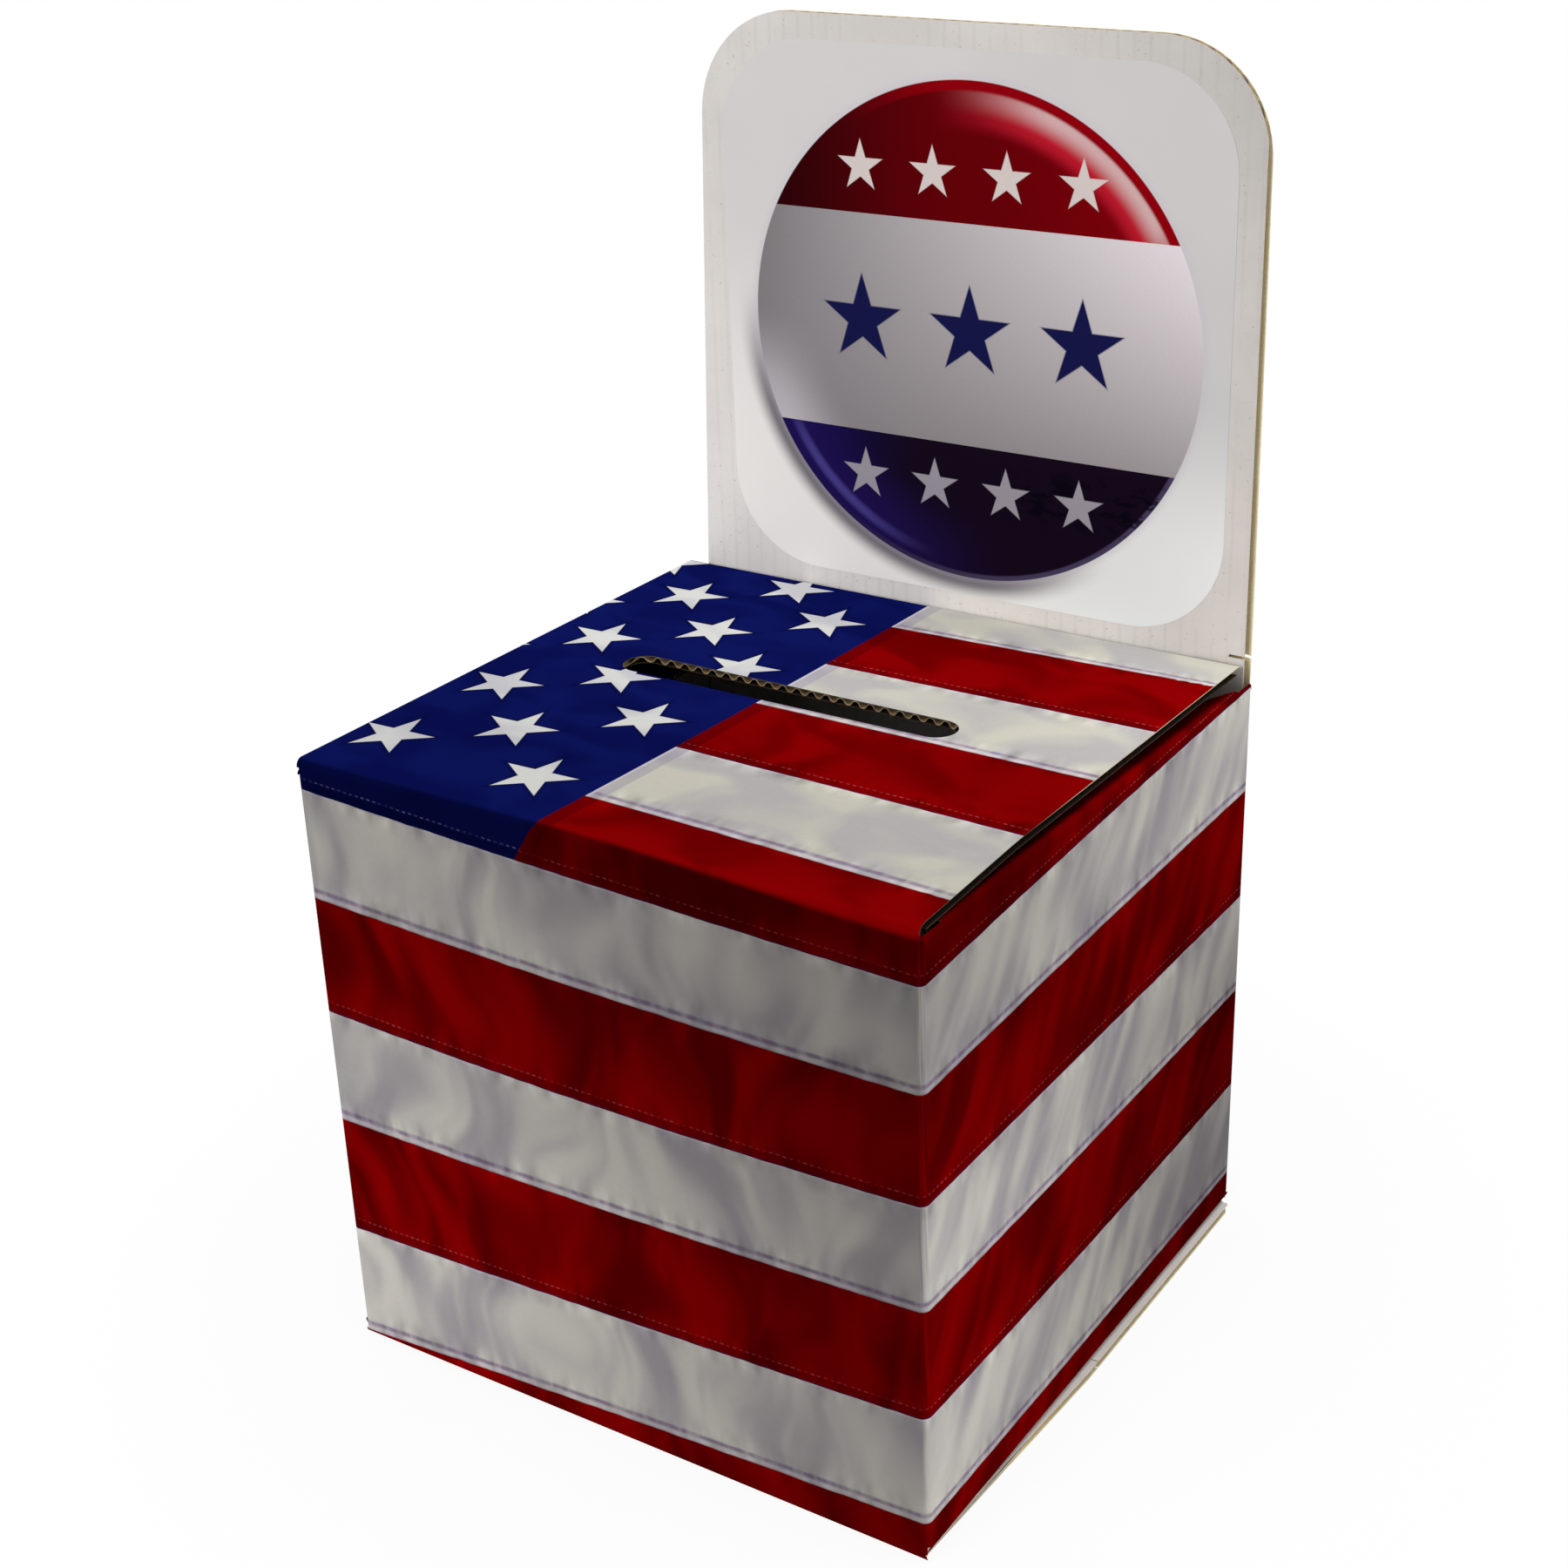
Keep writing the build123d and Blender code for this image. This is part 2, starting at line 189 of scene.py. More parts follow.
# Height of each stripe's edge, from the lid's rear to the foot, at these places: rear left corner,
# front left one, the front's middle, front right corner, the right wall's middle, rear right
# corner and rear left one again. Edge 0 is the upper edge of the red stripe over the lid's fold.
edge_places = (-box_depth * mm, 0.0, front_right_mm / 2, front_right_mm,
               (front_right_mm + rear_right_mm) / 2, rear_right_mm, rear_right_mm + front_right_mm)
stripe_pitch = 53.0
stripe_edges = {
    -6: (656.0,) * 7,
    -5: (603.0,) * 7,
    -4: (549.0, 553.0, 555.9, 561.5, 556.0, 550.0, 549.0),
    -3: (496.0, 499.0, 499.5, 501.4, 498.0, 496.0, 496.0),
    -2: (441.0, 445.0, 444.6, 443.3, 441.0, 440.0, 441.0),
    -1: (386.0, 389.0, 386.8, 382.6, 384.0, 385.0, 386.0),
    0: (333.0, 332.0, 326.9, 319.8, 326.0, 331.0, 333.0),
    1: (281.0, 283.0, 275.7, 270.9, 276.6, 280.4, 281.0),
    2: (229.0, 231.3, 225.6, 224.4, 227.5, 228.8, 229.0),
    3: (175.0, 174.7, 171.2, 174.5, 174.3, 174.1, 175.0),
    4: (122.0, 118.8, 120.3, 125.4, 123.9, 123.6, 122.0),
    5: (66.0, 59.8, 65.7, 73.3, 70.8, 71.3, 66.0),
    6: (12.0, 2.5, 12.6, 20.3, 19.9, 20.4, 12.0),
    7: (-42.0, -55.0, -44.0, -33.0, -33.0, -33.0, -42.0),
    8: (-95.0, -108.0, -97.0, -86.0, -86.0, -86.0, -95.0),
    9: (-148.0,) * 7,
    10: (-201.0,) * 7,
}

# Right edge of the blue field: its place at the fold, then its drift and bend over the lid
field_edge = 127.8
field_drift = 0.0607
field_bend = -0.00007
field_front_drift = 0.62

# Columns of stars: place across, first star's distance from the fold, and spacing
star_columns = ((-24.3, 79.5, 71.0), (16.6, 41.0, 71.5), (57.5, 73.5, 71.5), (98.4, 36.5, 73.2))
star_rows = 5
star_lean = 0.058
star_narrowing = 0.008
star_gathering = 0.8
star_radius = 18.9
star_turn = math.radians(-2.0)
star_height = 1.04

# Spacing of the stitches along a seam, and how far each stripe's cloth folds are shifted
stitch_pitch = 3.2
fold_shift = 61.7


def edge_height(values, where):
    """Height of a stripe's edge: straight from corner to corner, but bowed on the front and the
    right wall, through the value in their middle."""
    corners = [0, 1, 3, 5, 6]
    height = np.interp(where, np.array(edge_places)[corners], np.array(values)[corners])
    for start, middle, end in ((1, 2, 3), (3, 4, 5)):
        bow = values[middle] - (values[start] + values[end]) / 2
        share = np.clip((where - edge_places[start]) / (edge_places[end] - edge_places[start]), 0.0, 1.0)
        height = height + 4 * bow * share * (1 - share)
    return height


def stripe_number(round_mm, up_mm):
    """How many stripe edges lie above a place, with the share of the stripe it is in added."""
    numbers = sorted(stripe_edges)
    heights = np.stack([edge_height(stripe_edges[n], round_mm) for n in numbers])
    shares = (heights[:-1] - up_mm) / (heights[:-1] - heights[1:])
    return numbers[0] + np.clip(shares, 0.0, 1.0).sum(0)


def field_distance(round_mm, up_mm):
    """Distance into the blue field from its right edge, which leans forward below the fold."""
    from_fold = up_mm - front_fold
    over_lid = np.maximum(from_fold, 0.0)
    edge = field_edge + field_drift * over_lid + field_bend * over_lid ** 2
    return edge + field_front_drift * np.minimum(from_fold, 0.0) - round_mm


def star_places():
    """Centres of the stars: columns that lean to the right and close up towards the rear."""
    centres = []
    for column, (across, first, spacing) in enumerate(star_columns):
        for row in range(star_rows):
            back = first + spacing * row - star_gathering * row ** 2
            lean = (star_lean - star_narrowing * (column - 1)) * back
            centres.append((across + lean, back + front_fold))
    return np.array(centres)


def star_offset(centre_round, centre_up, round_mm, up_mm):
    """A corner's place about the star that lies nearest its face, in star radii."""
    stars = star_places()
    gaps = np.hypot(centre_round[:, None] - stars[:, 0], centre_up[:, None] - stars[:, 1])
    nearest = stars[gaps.argmin(1)]
    across = (round_mm - nearest[:, :1]) / star_radius
    along = (up_mm - nearest[:, 1:]) / star_radius / star_height
    cos, sin = math.cos(star_turn), math.sin(star_turn)
    return across * cos - along * sin, across * sin + along * cos


def new_object(name, data):
    """An object with this mesh, lamp or camera, put into the scene."""
    made = bpy.data.objects.new(name, data)
    bpy.context.scene.collection.objects.link(made)
    return made


def add_uv(mesh, name, first, second):
    """A UV map from two arrays with one value for each face corner."""
    layer = mesh.uv_layers.new(name=name)
    layer.uv.foreach_set("vector", np.stack([first, second], -1).astype(np.float32).ravel())


def make_mesh(name, points, faces, finishes, finish_of_face):
    """A mesh object from arrays, turned inside out if its volume comes out negative."""
    a, b, c, d = (points[faces[:, i]] for i in range(4))
    if np.einsum("ij,ij->i", np.cross(b - a, c - a) + np.cross(c - a, d - a), a).sum() < 0:
        faces = faces[:, ::-1]
    mesh = bpy.data.meshes.new(name)
    mesh.from_pydata(points.tolist(), [], faces.tolist())
    mesh.update()
    for finish in finishes:
        mesh.materials.append(finish)
    mesh.polygons.foreach_set("material_index", np.array(finish_of_face, np.int32))
    return new_object(name, mesh), faces


def grid_faces(rows, columns, closed=False):
    """Quads of a grid of points numbered row by row; a closed grid's last column meets its first."""
    last = columns if closed else columns - 1
    i, j = np.meshgrid(np.arange(rows - 1), np.arange(last), indexing="ij")
    near = i * columns + j
    far = i * columns + (j + 1) % columns
    return np.stack([near, near + columns, far + columns, far], -1).reshape(-1, 4)


def rim_faces(rows, columns, closed=False):
    """Quads of the narrow wall between a grid's edge and the edge of the grid one liner deeper."""
    if closed:
        inner = np.append(np.arange(columns), 0)
        loops = [inner[::-1], inner + (rows - 1) * columns]
    else:
        top = np.arange(columns)
        right = np.arange(rows) * columns + columns - 1
        bottom = (rows - 1) * columns + np.arange(columns)[::-1]
        left = (np.arange(rows) * columns)[::-1]
        loops = [np.concatenate([top, right[1:], bottom[1:], left[1:]])[::-1]]
    under = rows * columns
    return np.concatenate([np.stack([k[:-1], k[:-1] + under, k[1:] + under, k[1:]], -1) for k in loops])


def printed_sheet(name, patches, rim_finish, rings=0):
    """A liner with the print on its outer face. Each patch's inner face is its grid of points one
    liner deeper. The first few patches may be closed rings."""
    points, faces, finish_of_face, round_mm, up_mm = [], [], [], [], []
    count = 0
    for number, (outer, outward, patch_round, patch_up) in enumerate(patches):
        closed = number < rings
        rows, columns = outer.shape[:2]
        top = grid_faces(rows, columns, closed)
        rim = rim_faces(rows, columns, closed)
        under = top[:, ::-1] + rows * columns
        points += [outer.reshape(-1, 3), (outer - outward * liner).reshape(-1, 3)]
        faces += [top + count, under + count, rim + count]
        finish_of_face += [0] * len(top) + [1] * (len(under) + len(rim))
        round_mm += [np.broadcast_to(patch_round, (rows, columns)).ravel()] * 2
        up_mm += [np.broadcast_to(patch_up, (rows, columns)).ravel()] * 2
        count += 2 * rows * columns
    points, faces, round_mm, up_mm = (np.concatenate(each) for each in (points, faces, round_mm, up_mm))
    piece, faces = make_mesh(name, points, faces, [flag_print, rim_finish], finish_of_face)
    corners = faces.ravel()
    add_uv(piece.data, "print", round_mm[corners], stripe_number(round_mm, up_mm)[corners])
    add_uv(piece.data, "field", field_distance(round_mm, up_mm)[corners], up_mm[corners])
    centres = round_mm[faces].mean(1), up_mm[faces].mean(1)
    offset = star_offset(*centres, round_mm[faces], up_mm[faces])
    add_uv(piece.data, "star", offset[0].ravel(), offset[1].ravel())
    piece.data.polygons.foreach_set("use_smooth", [True] * len(piece.data.polygons))
    piece.data.set_sharp_from_angle(angle=math.radians(sharp_angle))
    return piece


def spread(low, high, step=sheet_step):
    """Evenly spaced values from low to high, about one step apart."""
    return np.linspace(low, high, max(2, int(round(abs(high - low) / step)) + 1))


half_fold = np.linspace(0.0, math.radians(45), bend_rows)
fold_near = fold_radius * (1 - np.sin(half_fold))
fold_deep = fold_radius * (1 - np.cos(half_fold))
fold_place = fold_radius * (1 - half_fold / half_fold[-1])


def leaning(turn, first, second):
    """Directions that go from the second to the first with the turn."""
    return np.sin(turn)[..., None] * first + np.cos(turn)[..., None] * second


def rows_between(low, high, shares):
    """Places along rows with these ends."""
    return low[:, None] + (high - low)[:, None] * shares


def wall_section(width, fold_end):
    """A wall cut level, with the half folds beside it: place along the wall, depth, outward lean,
    and place in the print, where half a fold takes up one fold radius."""
    flat = spread(fold_radius, width - fold_radius if fold_end else width)
    still = np.zeros(len(flat))
    start = [values[:0:-1] for values in (fold_near, fold_deep, -half_fold, fold_place)]
    end = [values[1:] for values in (width - fold_near, fold_deep, half_fold, width - fold_place)]
    parts = [start, [flat, still, still, flat]] + [end] * fold_end
    return [np.concatenate(values) for values in zip(*parts)]


def patch(points, outward, places):
    """A grid of points with their outward directions and their places in the print."""
    return points, np.broadcast_to(outward, points.shape), *places


def wall_patch(frame_of_wall, width, low, high, place, fold_end=True):
    """An upright wall's printed face: its level section carried from low to high."""
    u, w, lean, where = wall_section(width, fold_end)
    high = high(u) if callable(high) else high
    rows = int(np.max(high - low) / sheet_step) + 1
    v = low + (high - low) * np.linspace(0.0, 1.0, rows)[:, None]
    v = np.broadcast_to(v, (rows, len(u)))
    _, along_u, _, along_w = frame_of_wall
    return patch(at(frame_of_wall, u, v, w), leaning(lean, along_u, -along_w), place(where, v))


def fold_patch(fold, ends, place):
    """The wall's half of the bend at a fold, in the frame of the flap that hangs there."""
    _, _, into, inward = fold
    u = spread(*ends)
    points = at(fold, u, fold_deep[:, None], fold_near[:, None])
    return patch(points, -leaning(half_fold, inward, into)[:, None], place(u, -fold_place[:, None]))


def flap_patch(flap, outline, rows, place):
    """A flap's printed face: its half of the bend, then its flat, with each row's ends from the
    outline."""
    _, _, into, inward = flap
    bend = [values[:0:-1] for values in (fold_near, fold_deep, half_fold, fold_place)]
    v, w, turn, where = (np.append(*pair) for pair in zip(bend, (rows, 0 * rows, 0 * rows, rows)))
    low, high = outline(v)
    u = rows_between(low, high, np.linspace(0.0, 1.0, int(np.max(high - low) / sheet_step) + 1))
    outward = -leaning(turn, into, inward)[:, None]
    return patch(at(flap, u, v[:, None], w[:, None]), outward, place(u, where[:, None]))


def side_inset(v, length, taper, radius):
    """How far a flap's side stands in at distance v from its fold: evenly more, then round a
    corner whose arc touches both the side and the free edge."""
    lean = math.atan2(taper, length)
    touch = length - radius * (1 - math.sin(lean))
    centre = taper * (length - radius) / length + radius / math.cos(lean)
    depth = np.clip((v - (length - radius)) / radius, -1.0, 1.0)
    return np.where(v > touch, centre - radius * np.sqrt(1 - depth ** 2), taper * v / length)


def rows_to(low, high, radius=0.0, count=corner_rows):
    """Places of rows from low to high, closer together over round corners of this radius."""
    flat = spread(low, high - radius)
    corner = high - radius * (1 - np.sin(np.linspace(0.0, math.pi / 2, count)[1:]))
    return np.append(flat, corner) if radius else flat


def print_place(start_round, way_round, start_up, way_up, rise=0.0):
    """Where a panel's (u, v) lies in the print: u runs along the fold and v away from it."""
    def place(u, v):
        round_mm = (start_round + way_round * u) * mm + 0 * v
        return round_mm, (start_up + rise * u + way_up * v) * mm

    return place


# Where the walls' folds end, and the rise of a side wall's top
wall_ends, side_ends, sloped_ends = (
    (fold_near[-1], width - fold_near[-1]) for width in (box_width, box_depth, side_run))
rise = math.sin(side_slope)


def side_top(u_of_front, way):
    """Height of a side wall's flat at place u, which falls towards the rear."""
    def height(u):
        back = (u - u_of_front) * way
        drop = (side_front_height - side_rear_height) * back / box_depth
        return side_front_height - drop - fold_radius / math.cos(side_slope)

    return height


def header_patch(low, high, right_cut=0.0, radius=0.0):
    """The header's rear face between two heights; its right edge curls forward, as it is the
    end of a bend."""
    rows = rows_to(low, high, radius, header_corner_rows)
    left, right = (side_inset(rows - header_low, header_top - header_low, draw, header_corner_radius)
                   for draw in (header_left_draw, header_right_draw))
    left = header_left_inset + left
    right = np.minimum(back_width - header_right_inset - right_cut - right, back_width - fold_near[-1])
    edge = np.linspace(header_flat_share, 1.0, header_edge_columns)
    share = np.append(np.linspace(0.0, header_flat_share, header_columns), edge[1:])
    u = rows_between(left, right, share)
    v = np.broadcast_to(rows[:, None], u.shape)
    lean = np.arcsin(np.clip((u - (back_width - fold_radius)) / fold_radius, 0.0, 1.0))
    outward = leaning(lean, back_frame[1], -back_frame[3])
    return patch(at(back_frame, u, v, fold_radius * (1 - np.cos(lean))), outward, back_place(u, v))


# Where the panels lie in the print
right_dust_place = print_place(rear_right, -math.cos(side_slope), side_rear_height, 1, rise)
left_dust_place = print_place(0, -math.cos(side_slope), side_front_height, 1, -rise)
lid_place = print_place(box_width, -1, front_height, 1)
front_foot_place = print_place(0, 1, 0, -1)
rear_foot_place = print_place(rear_right, 1, 0, -1)
right_foot_place = print_place(box_width, 1, side_bottom, -1)
left_foot_place = print_place(-box_depth, 1, side_bottom, -1)
front_place = print_place(box_width, -1, 0, 1)
right_place = print_place(rear_right, -1, 0, 1)
left_place = print_place(0, -1, 0, 1)
back_place = print_place(rear_right + back_width, -1, 0, 1)

# The printed sheets of the walls, each with the wall's half of the bends at its folds
front_top = front_height - fold_radius
side_low = side_bottom + fold_radius
header_low = side_rear_height - fold_radius
nick_low = lid_rear_height + nick_lift
nick_high = nick_low + nick_height
left_depth = box_depth - left_wall_rear_setback
wall_sheets = {
    "front_wall": [
        wall_patch(front_frame, box_width, fold_radius, front_top, front_place),
        fold_patch(front_bottom_fold, wall_ends, front_foot_place)],
    "right_wall": [
        wall_patch(right_frame, box_depth, side_low, side_top(box_depth, -1), right_place),
        fold_patch(right_dust_fold, sloped_ends, right_dust_place),
        fold_patch(right_bottom_fold, side_ends, right_foot_place)],
    "left_wall": [
        wall_patch(left_frame, left_depth, side_low, side_top(0, 1), left_place, fold_end=False),
        fold_patch(left_dust_fold, sloped_ends, left_dust_place),
        fold_patch(left_bottom_fold, side_ends, left_foot_place)],
    "back_wall": [
        wall_patch(back_frame, back_width, fold_radius, header_low, back_place),
        fold_patch(rear_bottom_fold, (fold_radius, back_width - fold_radius), rear_foot_place),
        header_patch(header_low, nick_low),
        header_patch(nick_low, nick_high, nick_length),
        header_patch(nick_high, header_top, radius=header_corner_radius)],
}


def lid_flat():
    """The lid's flat face round its slot: rings between the slot's outline, with its round ends,
    and the face's rectangle."""
    low, high = fold_radius, lid_length - fold_radius
    across = np.linspace(-1.0, 1.0, slot_side_points, endpoint=False)
    turn = np.linspace(-1.0, 1.0, slot_end_points, endpoint=False)
    end_radius = slot_width / 2
    straight = slot_length / 2 - end_radius
    quarter = turn * math.pi / 2
    slot_u = np.concatenate([straight * across, straight + end_radius * np.cos(quarter)])
    slot_v = np.concatenate([0 * across - end_radius, end_radius * np.sin(quarter)])
    edge_u = np.concatenate([across, 0 * turn + 1.0])
    edge_v = np.concatenate([0 * across - 1.0, turn])
    slot_u, slot_v, edge_u, edge_v = (np.append(k, -k)[::-1] for k in (slot_u, slot_v, edge_u, edge_v))
    middle_u = lid_width - (slot_left_margin - lid_left_inset) - slot_length / 2
    middle_v = slot_front_margin + slot_width / 2
    inner = np.stack([middle_u + slot_u, middle_v + slot_v], -1)
    outer_v = low + (edge_v + 1) / 2 * (high - low)
    right_edge = lid_right_draw * np.clip(outer_v / lid_draw_length, 0.0, 1.0)
    outer = np.stack([right_edge + (edge_u + 1) / 2 * (lid_width - right_edge), outer_v], -1)
    share = (np.linspace(0.0, 1.0, slot_rings) ** slot_ring_crowding)[:, None, None]
    ring = inner + (outer - inner) * share
    u, v = ring[..., 0], ring[..., 1]
    return patch(at(lid_frame, u, v, 0.0), -lid_frame[3], lid_place(u + lid_right_inset, v))


def lid_fold_patch():
    """The bend between the front wall and the lid, which goes over from the wall's width to the
    lid's."""
    wall_points = at(lid_fold, 0.0, fold_deep, fold_near)
    lid_points = at(open_lid, 0.0, fold_near[::-1], fold_deep[::-1])[1:]
    wall_out = -leaning(half_fold, lid_fold[3], lid_fold[2])
    lid_out = -leaning(half_fold, open_lid[2], open_lid[3])[::-1][1:]
    base = np.concatenate([wall_points, lid_points])
    outward = np.concatenate([wall_out, lid_out])
    share = np.linspace(0.0, 1.0, len(base))
    low = wall_ends[0] + (lid_right_inset - wall_ends[0]) * share
    high = wall_ends[1] + (box_width - lid_left_inset - wall_ends[1]) * share
    u = rows_between(low, high, np.linspace(0.0, 1.0, fold_columns))
    v = np.append(-fold_place, fold_place[::-1][1:])[:, None]
    return patch(base[:, None] + u[..., None] * lid_fold[1], outward[:, None], lid_place(u, v))


tuck_right_inset = lid_right_draw + tuck_side_inset
tuck_corner = at(lid_frame, tuck_right_inset, lid_length, 0.0)
tuck_square = (tuck_corner, lid_frame[1], lid_frame[3], -lid_frame[2])
tuck_width = lid_width - tuck_right_inset - tuck_side_inset
tuck_place = print_place(box_width - lid_right_inset - tuck_right_inset, -1, front_height + lid_length, 1)
tuck_sizes = (tuck_width, tuck_length, tuck_taper, tuck_corner_radius)
dust_width = side_run - dust_front_setback - dust_rear_setback
dust_sizes = (dust_width, dust_length, dust_taper, dust_corner_radius)
short_width = box_depth - 2 * short_flap_setback
short_sizes = (short_width, short_flap_length, short_flap_taper, short_flap_corner_radius)


def shifted(place, distance):
    """The print place of a panel whose corner was moved along its fold."""
    return lambda u, v: place(u + distance, v)


def flap(fold, angle, distance, sizes, place):
    """A flap's printed face, from its fold's frame and its sizes; it is alike on both sides."""
    width, length, taper, radius = sizes

    def ends(v):
        inset = side_inset(v, length, taper, radius)
        return inset, width - inset

    rows = rows_to(fold_radius, length, radius)
    return [flap_patch(moved(turned(fold, angle), distance), ends, rows, shifted(place, distance))]


def long_flap(fold, flare, place):
    """A long bottom flap's printed face, which spreads until it passes the side walls."""
    def ends(v):
        share = np.clip(v / flare, 0.0, 1.0)
        start = fold_radius - (fold_radius + bottom_overhang) * share
        return start, box_width - start

    return [flap_patch(fold, ends, rows_to(fold_radius, long_flap_length), place)]


def linear(colour):
    """A picture's colour, given as three values from 0 to 255, in the values that shaders use."""
    return (*(((c / 255 + 0.055) / 1.055) ** 2.4 if c > 10 else c / 255 / 12.92 for c in colour), 1.0)


def operator(operation, swapped=False):
    """A method of Value for an operator, which puts a math node between two values."""
    def method(self, other):
        pair = (other, self) if swapped else (self, other)
        return self.recipe.math(operation, *pair)

    return method


class Value:
    """A number that a shader works out, to be added to others, multiplied and compared."""

    def __init__(self, recipe, socket):
        self.recipe, self.socket = recipe, socket

    __add__, __radd__ = operator("ADD"), operator("ADD", True)
    __sub__, __rsub__ = operator("SUBTRACT"), operator("SUBTRACT", True)
    __mul__ = operator("MULTIPLY")
    __gt__, __lt__ = operator("GREATER_THAN"), operator("LESS_THAN")

    def __abs__(self):
        return self.recipe.math("ABSOLUTE", self)


class Recipe:
    """Shader nodes of a new material or world; each method adds a node and returns its output.
    Where a node takes a colour, three values from 0 to 255 stand for a picture's colour."""

    def __init__(self, name, kind="materials"):
        self.owner = getattr(bpy.data, kind).new(name)
        self.owner.use_nodes = True
        self.tree = self.owner.node_tree
        self.tree.nodes.clear()

    def node(self, kind, inputs, **settings):
        made = self.tree.nodes.new("ShaderNode" + kind)
        for key, value in settings.items():
            setattr(made, key, value)
        for key, value in inputs.items():
            value = getattr(value, "socket", value)
            if isinstance(value, bpy.types.NodeSocket):
                self.tree.links.new(value, made.inputs[key])
            else:
                is_picture_colour = isinstance(value, tuple) and len(value) == 3
                made.inputs[key].default_value = linear(value) if is_picture_colour else value
        return made

    def number(self, kind, inputs, **settings):
        return Value(self, self.node(kind, inputs, **settings).outputs[0])

    def math(self, operation, *values):
        return self.number("Math", dict(enumerate(values)), operation=operation)

    def ease(self, value, start, end, low=0.0, high=1.0):
        """Goes smoothly from low to high while the value goes from start to end."""
        inputs = {0: value, 1: start, 2: end, 3: low, 4: high}
        return self.number("MapRange", inputs, interpolation_type="SMOOTHSTEP")

    def band(self, value, start, end, soft):
        """1 between start and end, with soft edges, and 0 elsewhere."""
        return self.ease(value, start - soft, start + soft) * self.ease(value, end + soft, end - soft)

    def between(self, share, a, b):
        """Goes from number a to number b with the share."""
        return self.number("Mix", {0: share, 2: a, 3: b})

    def between_shaders(self, share, a, b):
        return self.node("MixShader", {0: share, 1: a.outputs[0], 2: b.outputs[0]})

    def mix(self, share, a, b, blend_type="MIX"):
        """Goes from colour a to colour b with the share."""
        settings = {"data_type": "RGBA", "blend_type": blend_type}
        return self.node("Mix", {0: share, 6: a, 7: b}, **settings).outputs[2]

    def over(self, colour, *layers):
        """The colour with others laid over it one by one, each given with its share."""
        for share, layer in layers:
            colour = self.mix(share, colour, layer)
        return colour

    def shade(self, colour, amount):
        """The colour times a grey amount."""
        grey = self.node("CombineColor", {0: amount, 1: amount, 2: amount}).outputs[0]
        return self.mix(1.0, colour, grey, "MULTIPLY")

    def vector(self, x, y, z=0.0):
        return self.node("CombineXYZ", {0: x, 1: y, 2: z}).outputs[0]

    def split(self, vector):
        return [Value(self, part) for part in self.node("SeparateXYZ", {0: vector}).outputs]

    def uv(self, name):
        return self.split(self.node("UVMap", {}, uv_map=name).outputs[0])[:2]

    def coordinates(self, kind="Object"):
        return self.node("TexCoord", {}).outputs[kind]

    def reach(self, x, y):
        return self.math("SQRT", x * x + y * y)

    def noise(self, place, scale, detail=2.0, roughness=0.5, distortion=0.0):
        """Noise over a pair of numbers, or over a place in space."""
        flat = isinstance(place, tuple)
        inputs = {"Vector": self.vector(*place) if flat else place, "Scale": scale, "Detail": detail,
                  "Roughness": roughness, "Distortion": distortion}
        return self.number("TexNoise", inputs, noise_dimensions="2D" if flat else "3D")

    def star(self, x, y):
        """Signed distance outside a five-pointed star of radius 1 with one tip up, measured from
        the nearest point's straight side."""
        reach = self.reach(x, y)
        sector = self.math("PINGPONG", abs(self.math("ARCTAN2", x, y)), math.pi / 5)
        across = reach * self.math("SINE", sector)
        along = reach * self.math("COSINE", sector) - 1.0
        return across * math.cos(math.pi / 10) + along * math.sin(math.pi / 10)

    def end(self, kind, shader):
        """Ends the recipe with a shader, and returns the material or world."""
        self.node(kind, {"Surface": shader.outputs[0]})
        return self.owner

    def finish(self, colour, roughness, specular, height, strength, distance=0.0004):
        """Ends the recipe with a surface that the height makes uneven, and returns the material."""
        bump = self.node("Bump", {"Strength": strength, "Distance": distance, "Height": height})
        inputs = {"Base Color": colour, "Roughness": roughness, "Specular IOR Level": specular,
                  "Normal": bump.outputs[0]}
        return self.end("OutputMaterial", self.node("BsdfPrincipled", inputs))


